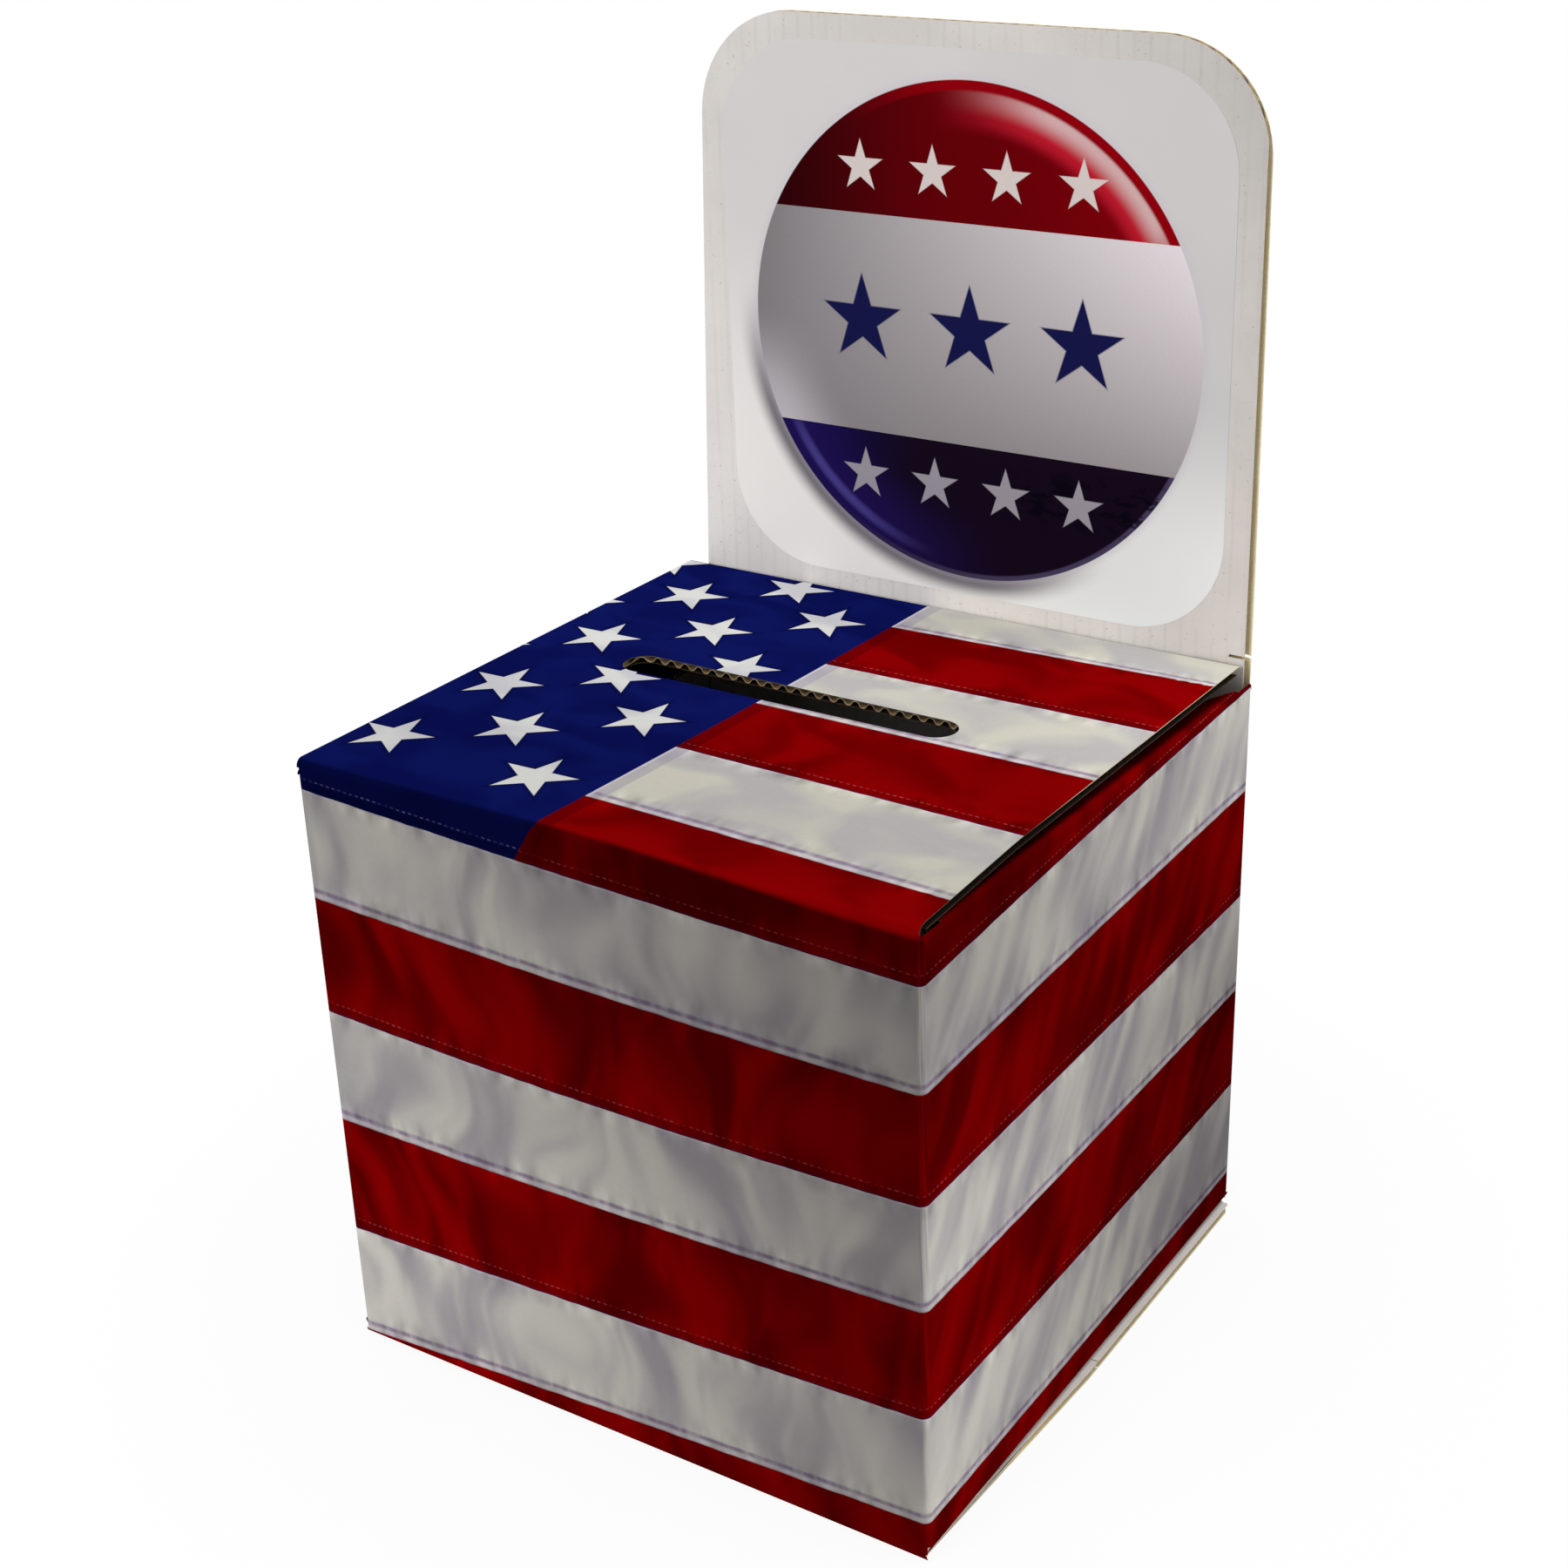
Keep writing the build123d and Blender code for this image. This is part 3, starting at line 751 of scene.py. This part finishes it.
def flag_print_recipe():
    """Sewn cloth stripes and a starred blue field, printed on smooth paper. The stripes' edges are
    at the whole values of the stripe number."""
    r = Recipe("flag_print")
    around, number = r.uv("print")
    field, up = r.uv("field")
    star_x, star_y = r.uv("star")

    # Where the print is: on the lid or on the right wall. The lid's mask starts a little lower at its right
    # end, so that the lid's painted light reaches a little way down over the fold there
    on_right = r.ease(around, front_right_mm - 3.0, front_right_mm + 3.0)
    lid_light_start = up + r.ease(around, 130.0, front_right_mm, 0.0, 7.0)
    on_lid = r.ease(lid_light_start, 296.0, 300.0) * (around < front_right_mm)

    # Cloth folds: soft bands that run up the walls and lean over on the right one, and patches on
    # the lid. Each stripe has its own.
    wander = (r.noise((around, up), 0.09, 1.0) - 0.5) * 0.012
    number = number + wander
    own = r.math("FLOOR", number) * fold_shift
    straight = around - on_right * 0.55 * up
    sway = r.noise((around + own, up), 0.013, 1.0) - 0.5
    sway = sway * r.ease(on_right, 0.0, 1.0, 64.0, 20.0)
    swayed = straight + sway + own
    broad = r.noise((swayed, up * 0.5), 0.024, 1.0, 0.5, 0.2)
    narrow = r.noise((swayed, up * 0.34), 0.055, 1.0, 0.4, 0.2)
    patches = r.noise((around + up * 0.4, up * 1.6), 0.020, 1.5, 0.5, 0.5)
    on_walls = r.ease(broad * 0.55 + narrow * 0.45, 0.30, 0.70)
    fold = r.between(on_lid, on_walls, r.ease(patches, 0.34, 0.66))
    fine = r.noise((around, up), 0.35, 3.0, 0.6)

    # Painted shade on the cloth: light on the lid, lightest at its rear, deeper on the walls, deepest just
    #     # under the fold. The front darkens to the right, and the right wall towards its lower rear
    #     corner.
    front_painted_shade = r.ease(up, 330.0, -40.0, 0.31, 0.555) * r.ease(around, -20.0, 325.0, 1.30, 0.70)
    rearward = r.ease(around, front_right_mm, rear_right_mm, -1.0, 1.0)
    right_shade_tilt = r.ease(up, 270.0, 120.0, 0.20, -0.35) * rearward
    right_painted_shade = r.ease(up, 200.0, 20.0, 0.69, 0.63) * (1.0 + right_shade_tilt)
    wall_painted_shade = r.between(on_right, front_painted_shade, right_painted_shade)
    # Painted shade: a darker band on the front's top stripe, just under the lid's fold
    front_top_shade = r.ease(number, 1.03, 0.97) * r.ease(up, 270.0, 284.0) * 0.26
    wall_painted_shade = wall_painted_shade * (1.0 - front_top_shade * (1.0 - on_right))
    depth = r.between(on_lid, wall_painted_shade, r.ease(up, 330.0, 590.0, 0.70, 0.98))

    # Stripes and the lines along their seams, with distances in millimetres
    red = r.math("FRACT", number * 0.5) < 0.5
    down = r.math("FRACT", number) * stripe_pitch
    rise_mm = stripe_pitch - down

    wall_white = r.mix(fold, (182, 176, 181), (232, 228, 219))
    white_cloth = r.mix(on_lid, wall_white, r.mix(fold, (192, 189, 188), (213, 210, 196)))
    # Painted shade: the red is darker on the right wall
    wall_red = r.shade(r.mix(fold, (104, 0, 1), (158, 1, 3)), r.ease(on_right, 0.0, 1.0, 1.0, 0.89))
    red_cloth = r.mix(on_lid, wall_red, r.mix(fold, (115, 0, 1), (142, 1, 3)))
    blue_cloth = r.mix(fold, (11, 17, 82), (15, 23, 94))

    # White stripe's lower seam: a bright line, then blotchy purple stitching; puckers above it
    dash = r.noise((around, up * 0.15), 0.20, 1.0, 0.5)
    purple = r.band(rise_mm, 2.8, 5.0, 0.8) * r.ease(dash, 0.30, 0.62, 0.40, 0.72)
    white_cloth = r.over(
        white_cloth, (r.band(rise_mm, 0.8, 2.4, 0.5) * 0.5, (212, 203, 217)), (purple, (126, 98, 142)),
        (r.ease(rise_mm, 0.7, 0.2) * 0.5, (120, 70, 100)),
        (r.band(down, 0.0, 1.0, 0.3) * 0.5, (222, 212, 222)))
    pucker = r.noise((around + own, up * 0.35), 0.13, 1.5, 0.5)
    near_seam = r.ease(rise_mm, 15.0, 4.0) + r.ease(down, 9.0, 1.0)
    pucker = (pucker - 0.5) * near_seam
    white_cloth = r.shade(white_cloth, 1.0 + pucker * 0.95)

    # Red stripe's lower seam: a thin dark line, a darker hem and a row of pale stitches
    dots = r.band(r.math("FRACT", around * (1 / stitch_pitch)), 0.2, 0.7, 0.14)
    stitch = dots * r.ease(r.noise((around, 0.0), 0.09, 2.0), 0.35, 0.65, 0.15, 1.0)
    thread = r.band(rise_mm, 4.7, 5.2, 0.22) * stitch * 0.38
    red_cloth = r.over(
        red_cloth, (r.band(rise_mm, 1.0, 4.4, 0.4) * 0.36, (84, 0, 3)),
        (r.ease(rise_mm, 1.1, 0.5) * 0.8, (70, 20, 60)), (thread, (214, 130, 138)))
    red_cloth = r.shade(red_cloth, 1.0 + pucker * 0.8)

    # Seam beside the blue field: a darker upright band on the stripes of the lid
    beside = field * -1.0
    upper = number < 1.0
    band = r.band(beside, 0.0, 7.5, 0.4) * upper
    light_edge = r.band(beside, 0.3, 1.3, 0.25) * upper
    red_cloth = r.mix(band * 0.5, red_cloth, (84, 0, 6))
    white_cloth = r.over(white_cloth, (band * 0.45, (158, 150, 174)), (light_edge * 0.7, (222, 214, 232)))
    stripes = r.mix(red, white_cloth, red_cloth)

    # Blue field with white stars, each with a darker edge, and a hem and stitches at its foot
    distance = r.star(star_x, star_y)
    star_white = r.mix(fold, (206, 206, 212), (226, 226, 222))
    above_foot = (1.0 - number) * stripe_pitch
    blue_cloth = r.over(
        blue_cloth, (r.ease(distance, 0.16, 0.0) * 0.5, (5, 6, 48)),
        (r.ease(distance, 0.012, -0.012), star_white),
        (r.band(above_foot, 5.4, 6.0, 0.22) * stitch * 0.6, (150, 156, 214)),
        (r.band(above_foot, 0.5, 4.6, 0.4) * 0.4, (6, 6, 44)))
    colour = r.mix((field > 0.0) * upper, stripes, blue_cloth)
    # Painted shade from depth, with a little random tone
    colour = r.shade(colour, depth * (0.965 + fine * 0.07))

    washboard = r.math("SINE", around * (flute_turn / mm))
    height = washboard * 0.10 + fine * 0.05
    return r.finish(colour, 0.6, 0.0, height, 0.3)


def paper_recipe(name, dark, light, middle=1.0, sides=1.0, rear_sides=1.0):
    """Unbleached paper: long fibres and specks. Painted shade and painted light may darken or lighten
    it between the middle of the box, its sides and the rear half of its sides."""
    r = Recipe(name)
    place = r.coordinates()
    x, y, z = r.split(place)
    fibres = r.noise(r.vector(x * 0.35, y * 0.35, z), 900.0, 4.0, 0.65, 0.6)
    clouds = r.noise(place, 42.0, 3.0, 0.55)
    share = fibres * 0.65 + clouds * 0.45
    colour = r.mix(r.ease(share, 0.35, 0.78), dark, light)
    specks = r.ease(r.noise(place, 1700.0, 1.0), 0.70, 0.78)
    colour = r.mix(specks * 0.5, colour, (70, 50, 32))
    # Painted shade and painted light: darker or lighter at the sides, where cut ends lie in shade or catch
    # the light
    beside = r.ease(y, -0.06, 0.0, sides, rear_sides)
    colour = r.shade(colour, r.ease(abs(x), 0.12, 0.14, middle, beside))
    return r.finish(colour, 0.88, 0.2, fibres, 0.25, 0.0003)


def board_recipe(name, flat_axis, way, flute_axis, edges, low=1.0, high=1.0, right=1.0, first_flute=0.0):
    """White-topped liner: an off-white face with faint lines over the flutes, and brown paper on
    its back and cut edges, told by the surface's direction; the back is darkened as painted shade.
    Painted shade darkens the white face from low inside the box to full at the lid, to high at the
    header's top, and it falls to its right."""
    r = Recipe(name)
    place = r.coordinates()
    parts = r.split(place)
    facing = r.split(r.coordinates("Normal"))[flat_axis] * way
    turn = (parts[flute_axis] - first_flute) * flute_turn
    sway = (r.noise(place, 26.0, 1.0) - 0.5) * 1.2
    wave = r.math("COSINE", turn + sway)
    line = r.ease(wave, 0.55, 1.0)
    clouds = r.noise(place, 14.0, 4.0, 0.6)
    fibres = r.noise(place, 950.0, 3.0, 0.65, 0.5)
    patchy = r.ease(r.noise(place, 30.0, 2.0), 0.35, 0.65)
    colour = r.mix(r.ease(clouds, 0.32, 0.68), (232, 227, 222), (242, 237, 232))
    colour = r.mix(line * patchy * 0.13, colour, (186, 180, 172))
    specks = r.ease(r.noise(place, 620.0, 1.0), 0.71, 0.78)
    colour = r.mix(specks * 0.35, r.shade(colour, 0.955 + fibres * 0.09), (120, 108, 94))
    x, _, z = parts
    # Painted shade: darker inside the box below the lid, darker towards the header's top and to the right
    painted_white_shade = r.ease(z, 0.235, 0.285, low, 1.0) * r.ease(z, 0.30, 0.56, 1.0, high)
    colour = r.shade(colour, painted_white_shade * r.ease(x, 0.03, 0.15, 1.0, right))
    edge = r.mix(r.ease(fibres, 0.35, 0.7), *edges)
    # Painted shade: the brown back of the liner is darkened
    edge = r.shade(edge, r.ease(facing, -0.75, -0.65, 0.4, 1.0))
    colour = r.mix(r.ease(facing, 0.75, 0.65), colour, edge)
    height = wave * 0.22 + fibres * 0.12
    return r.finish(colour, 0.68, 0.10, height, 0.22)


# The badge: its middle and radius, and the edges of its pale band from its middle, in millimetres
badge_across = 8.6
badge_up = 423.9
badge_radius = 115.5
pale_band_top = 52.6
pale_band_foot = -50.6


def badge_recipe():
    """A round pin badge printed on a white label: a red, a pale and a blue band with rows of
    stars, a bright crescent inside the rim and a soft shadow on the label."""
    r = Recipe("badge_print")
    x, _, z = r.split(r.coordinates())
    x = x * mm - badge_across
    z = z * mm - badge_up

    def star_row(x, centre_up, spacing, radius, shift=0.0):
        cell = r.math("FRACT", x * (1 / spacing) + shift) - 0.5
        inside = abs(x) < 2 * spacing
        distance = r.star(cell * (spacing / radius), (z - centre_up) * (1 / radius))
        return r.ease(distance, 0.02, -0.02) * inside

    from_middle = r.reach(x, z)
    angle = r.math("ARCTAN2", z, x)
    fine = r.noise((x, z), 0.8, 3.0, 0.6)

    # Red band, brighter to the right, with light caught by the rounded rim at the upper right
    upper_right = r.ease(angle, 0.30, 0.60) * r.ease(angle, 1.80, 1.15)
    crescent = r.ease(from_middle, 99.3, 109.0) * upper_right * upper_right
    red = r.over(
        r.mix(r.ease(x, -110.0, 10.0), (44, 4, 9), (100, 2, 9)), (r.ease(x, 0.0, 110.0), (128, 2, 12)),
        (r.ease(from_middle, 91.0, 100.0) * upper_right, (184, 26, 44)), (crescent * 0.85, (212, 182, 182)),
        (r.ease(from_middle, 110.0, 111.8) * r.ease(angle, 2.2, 1.6), (140, 2, 14)))

    # Pale band: dark to the left and along a valley that falls to the right, light at the rims
    across, along = x * 0.01, z * 0.01
    valley = across * 0.200 + along * -0.023
    level = across * 0.157 + along * (0.195 + valley) + 0.403 + across * across * 0.001
    lower_left = r.ease(z, 5.0, -52.0) * r.ease(x, -10.0, -80.0)
    emblem = star_row(x, 3.0, 57.0, 22.0, 0.5) * (abs(x) < 85.5)
    pale = r.over(
        r.shade((255, 247, 251), level),
        (r.ease(from_middle, 78.0, 115.0) * lower_left * 0.55, (226, 220, 226)), (emblem, (22, 24, 72)))

    # Blue band, with a glow inside the rim on the left and a blotchy sheen on the right
    near_rim = r.ease(from_middle, 75.0, 108.0) * r.ease(angle, -1.35, -2.1)
    lower_left = r.ease(angle, -2.85, -2.45) * r.ease(angle, -1.7, -2.25)
    glow = r.band(from_middle, 105.8, 110.2, 1.7) * lower_left
    blotch = r.ease(r.noise((x, z * 2.2), 0.07, 4.0, 0.7), 0.50, 0.58)
    sheen = blotch * r.ease(x, 5.0, 40.0) * r.band(z, -82.0, -58.0, 6.0)
    blue = r.over(
        r.mix(r.ease(x, -105.0, -20.0), (21, 17, 76), (23, 12, 29)), (near_rim * 0.8, (34, 20, 84)),
        (glow * 0.65, (86, 76, 158)),
        (r.ease(from_middle, 112.6, 113.8) * r.ease(angle, -2.4, -1.2), (72, 62, 94)),
        (sheen * 0.75, (8, 6, 18)))

    badge = r.mix(z < pale_band_foot, r.mix(z > pale_band_top, pale, red), blue)
    badge = r.over(badge, (star_row(x, 73.9, 37.7, 12.4), (212, 200, 196)),
                   (star_row(x, -71.9, 37.7, 13.0), (158, 153, 163)))
    badge = r.shade(badge, 0.96 + fine * 0.08)

    # The label, with the photo's soft light on it, and the badge's shadow at its lower left
    rightward = r.ease(x, -60.0, 90.0)
    label = r.mix(r.noise((x, z), 0.02, 2.0), (246, 242, 242), (252, 248, 248))
    low_label = r.mix(rightward, (252, 248, 243), (247, 251, 250))
    label = r.mix(r.ease(z, 60.0, -110.0), label, low_label)
    left_level = r.ease(z, -150.0, 90.0, 1.06, 0.68)
    right_level = r.ease(z, -100.0, -10.0, 0.95, 0.65)
    label = r.shade(label, r.between(rightward, left_level, right_level))
    lower_left = r.ease(r.math("COSINE", angle + 2.1), 0.35, 0.85)
    shadow = r.ease(from_middle, badge_radius + 12.5, badge_radius + 1.5) * lower_left
    halo = r.ease(from_middle, badge_radius + 4.5, badge_radius)
    label = r.over(label, (shadow * 0.9, (62, 52, 72)), (halo * 0.35, (196, 190, 200)))
    inside = r.ease(from_middle, badge_radius + 0.25, badge_radius - 0.25)
    colour = r.mix(inside, label, badge)
    wave = r.math("COSINE", x * (flute_turn / mm))
    height = wave * 0.10 + fine * 0.04
    return r.finish(colour, 0.5, 0.0, height, 0.25)


flag_print = flag_print_recipe()
badge_print = badge_recipe()
papers = {
    "raw_liner": ((116, 92, 64), (168, 142, 108)),
    "kraft_flute": ((104, 82, 56), (166, 140, 106)),
    # Partly painted light: the header's flutes are paler than kraft, lightened against the shade at the
    # header's edge
    "pale_flute": ((176, 158, 126), (222, 208, 184)),
    # Painted shade: the lid's flutes are darkened at its sides. Painted shade and highlight: the lid's
    # liner edge is dark in the middle and at the front of its sides, and a pale line along the rear half of
    # its sides
    "lid_flute": ((140, 116, 84), (200, 176, 140), 1.0, 0.1, 0.1),
    "lid_rim": ((216, 194, 158), (240, 222, 192), 0.13, 0.08, 1.0),
    # Partly painted light: the pale rims and the long bottom flaps' flutes are near white, lightened
    # against their shade near the floor and at the header's edge
    "pale_rim": ((232, 214, 166), (250, 236, 196)),
    "foot_flute": ((240, 230, 214), (252, 247, 238)),
}
raw_liner, kraft_flute, pale_flute, lid_flute, lid_rim, pale_rim, foot_flute = (
    paper_recipe(name, *values) for name, values in papers.items())

lid_slot = "printed_lid_liner"
flap_sheets = {
    "tuck_flap": flap(tuck_square, tuck_angle - lid_slope, 0.0, tuck_sizes, tuck_place),
    "right_dust_flap": flap(right_dust_fold, dust_angle, dust_rear_setback, dust_sizes, right_dust_place),
    "left_dust_flap": flap(left_dust_fold, dust_angle, dust_front_setback, dust_sizes, left_dust_place),
    "front_bottom_flap": long_flap(front_bottom_fold, front_bottom_flare, front_foot_place),
    "rear_bottom_flap": long_flap(rear_bottom_fold, rear_bottom_flare, rear_foot_place),
    "right_bottom_flap": flap(right_bottom_fold, 0.0, short_flap_setback, short_sizes, right_foot_place),
    "left_bottom_flap": flap(left_bottom_fold, 0.0, short_flap_setback, short_sizes, left_foot_place),
}
rim_of = {"back_wall": pale_rim, "front_bottom_flap": pale_rim, "rear_bottom_flap": pale_rim,
          "front_wall": flag_print, "right_wall": flag_print, "left_wall": flag_print}
for name, patches in {**wall_sheets, **flap_sheets}.items():
    body = "box_body" if name in wall_sheets else name
    slot_name = lid_slot if name == "tuck_flap" else "printed_wall_liner"
    piece = printed_sheet(name + "_print", patches, rim_of.get(name, raw_liner))
    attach(piece, body)
    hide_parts(name + "_outer_liner")

rear_fold_place = shifted(tuck_place, -tuck_right_inset)
rear_fold = fold_patch(moved(tuck_square, -tuck_right_inset), (lid_right_draw, lid_width), rear_fold_place)
lid_sheet = printed_sheet("lid_print", [lid_flat(), rear_fold], lid_rim, rings=1)
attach(lid_sheet, "lid")
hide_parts("lid_outer_liner")

fold_sheet = printed_sheet("lid_fold_print", [lid_fold_patch()], lid_rim)
fold_start = at(lid_fold, half_width, 0.0, fold_radius)
fold_end = at(open_lid, half_width, fold_radius, 0.0)
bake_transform(fold_sheet)

# The CAD's own plies: the flutes, the white liners inside, and the label
X, Y, Z = range(3)
first_on_back = -half_width + seam_inset + fold_radius + header_flute_shift + flute_pitch / 4
brown = ((122, 98, 70), (176, 154, 124))
# Painted shade: the lid's cut edges are near black, as if in shade
lid_edge_shade_brown = ((44, 34, 26), (76, 60, 46))
# Partly painted light: the cream and pale cut-edge colours are lightened against the shade at the header's
# edge and along the bottom flaps
cream = ((198, 184, 160), (226, 214, 196))
pale = ((232, 222, 206), (250, 243, 232))
# Painted shade: the numbers after the edge colours darken the white faces inside the box (0.45), towards
# the header's top (0.76) and to its right (0.84)
boards = {
    "header": (Y, -1, X, cream, 0.45, 0.76, 0.84, first_on_back),
    "front": (Y, 1, X, brown, 0.45),
    "right": (X, -1, Y, brown, 0.45),
    "left": (X, 1, Y, brown, 0.45),
    "lid": (Z, -1, X, lid_edge_shade_brown),
    "dust": (Z, -1, Y, brown),
    "tuck": (Y, -1, X, brown),
    "long_flap": (Z, 1, X, pale),
    "short_flap": (Z, 1, Y, brown),
}
white_boards = {kind: board_recipe(kind + "_board", *values) for kind, values in boards.items()}
board_of = {
    "back_wall": "header", "front_wall": "front", "right_wall": "right", "left_wall": "left",
    "seam_tab": "left", "lid": "lid", "tuck_flap": "tuck", "right_dust_flap": "dust",
    "left_dust_flap": "dust", "front_bottom_flap": "long_flap", "rear_bottom_flap": "long_flap",
    "right_bottom_flap": "short_flap", "left_bottom_flap": "short_flap",
}
flute_of = {"header": pale_flute, "long_flap": foot_flute, "lid": lid_flute}


def finish_node(name, finish):
    """Gives a CAD piece its finish, in every material slot that it has."""
    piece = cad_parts[name]
    if not piece.material_slots:
        piece.data.materials.append(finish)
    for material_slot in piece.material_slots:
        material_slot.material = finish


for panel_name, kind in board_of.items():
    finish_node(panel_name + "_inner_liner", white_boards[kind])
    finish_node(panel_name + "_flutes", flute_of.get(kind, kraft_flute))
finish_node("seam_tab_outer_liner", raw_liner)
finish_node("header_label", badge_print)


full_white = (1.0, 1.0, 1.0, 1.0)


def backdrop_share(r):
    """1 for rays that come from the camera or off a glossy or clear surface, which see white."""
    path = r.node("LightPath", {})
    seen = [path.outputs[k] for k in ("Is Camera Ray", "Is Glossy Ray", "Is Transmission Ray")]
    return r.math("MAXIMUM", r.math("MAXIMUM", *seen[:2]), seen[2])


def floor_recipe():
    """Pale floor that keeps the shadow near the box and goes over to the white backdrop. Under
    the box it is plain, so that no backdrop shows between the bottom flaps."""
    r = Recipe("floor")
    x, y, _ = r.split(r.coordinates())
    grain = r.noise(r.coordinates(), 60.0, 2.0)
    colour = r.mix(grain, (0.80, 0.80, 0.80, 1.0), (0.84, 0.84, 0.84, 1.0))
    pale = r.node("BsdfDiffuse", {"Color": colour})
    white = r.node("Emission", {"Color": full_white, "Strength": 1.0})
    footprint = r.math("MAXIMUM", abs(x) * (1 / half_width), abs(y) * (1 / half_depth))
    share = r.ease(r.reach(x, y), 0.20, 0.45, 0.93, 1.0) * r.ease(footprint, 0.90, 0.98)
    share = share * backdrop_share(r)
    return r.end("OutputMaterial", r.between_shaders(share, pale, white))


def floor_disc(radii=(0.02, 0.3, 1.0, 3.0, 6.0), segments=96, drop=0.0002):
    """A flat disc of rings of quads round a small face in the middle, just under the box."""
    turn = np.linspace(0.0, 2 * math.pi, segments, endpoint=False)
    rings = np.array(radii)[:, None]
    points = np.stack([rings * np.cos(turn), rings * np.sin(turn), 0 * rings + 0 * turn - drop], -1)
    mesh = bpy.data.meshes.new("floor")
    faces = grid_faces(len(rings), segments, closed=True).tolist() + [list(range(segments))]
    mesh.from_pydata(points.reshape(-1, 3).tolist(), [], faces)
    mesh.materials.append(floor_recipe())
    mesh.update()
    return new_object("floor", mesh)


floor_disc()


def area_light(name, place, target, size, power):
    """A soft square lamp that faces its target."""
    lamp = bpy.data.lights.new(name, "AREA")
    lamp.size = size
    lamp.energy = power
    turn = (Vector(target) - Vector(place)).to_track_quat("-Z", "Y").to_matrix().to_4x4()
    new_object(name, lamp).matrix_world = Matrix.Translation(place) @ turn


area_light("top_light", (0.25, 0.15, 2.2), (0.0, 0.0, 0.2), 1.6, 25.0)
area_light("right_light", (2.0, 0.4, 1.3), (0.0, 0.0, 0.2), 1.2, 8.5)
area_light("front_light", (-0.7, -2.2, 1.2), (0.0, 0.0, 0.25), 1.4, 30.0)

studio = Recipe("studio", "worlds")
plain, backdrop = (
    studio.node("Background", {"Color": full_white, "Strength": level}) for level in (0.38, 1.0))
both = studio.between_shaders(backdrop_share(studio), plain, backdrop)
bpy.context.scene.world = studio.end("OutputWorld", both)

# The camera stands where the photograph was taken from
camera_data = bpy.data.cameras.new("camera")
camera_data.lens = 58.06
camera_data.sensor_width = 36.0
camera_place = (0.55936, -0.84476, 0.72963)
right_way = (0.83966, 0.54211, -0.03302)
up_way = (-0.20388, 0.37096, 0.90599)
back_way = (0.50340, -0.75399, 0.42200)
turn_matrix = Matrix((right_way, up_way, back_way)).transposed().to_4x4()
camera = new_object("camera", camera_data)
camera.matrix_world = Matrix.Translation(camera_place) @ turn_matrix
bpy.context.scene.camera = camera
bpy.context.scene.view_settings.view_transform = "Standard"
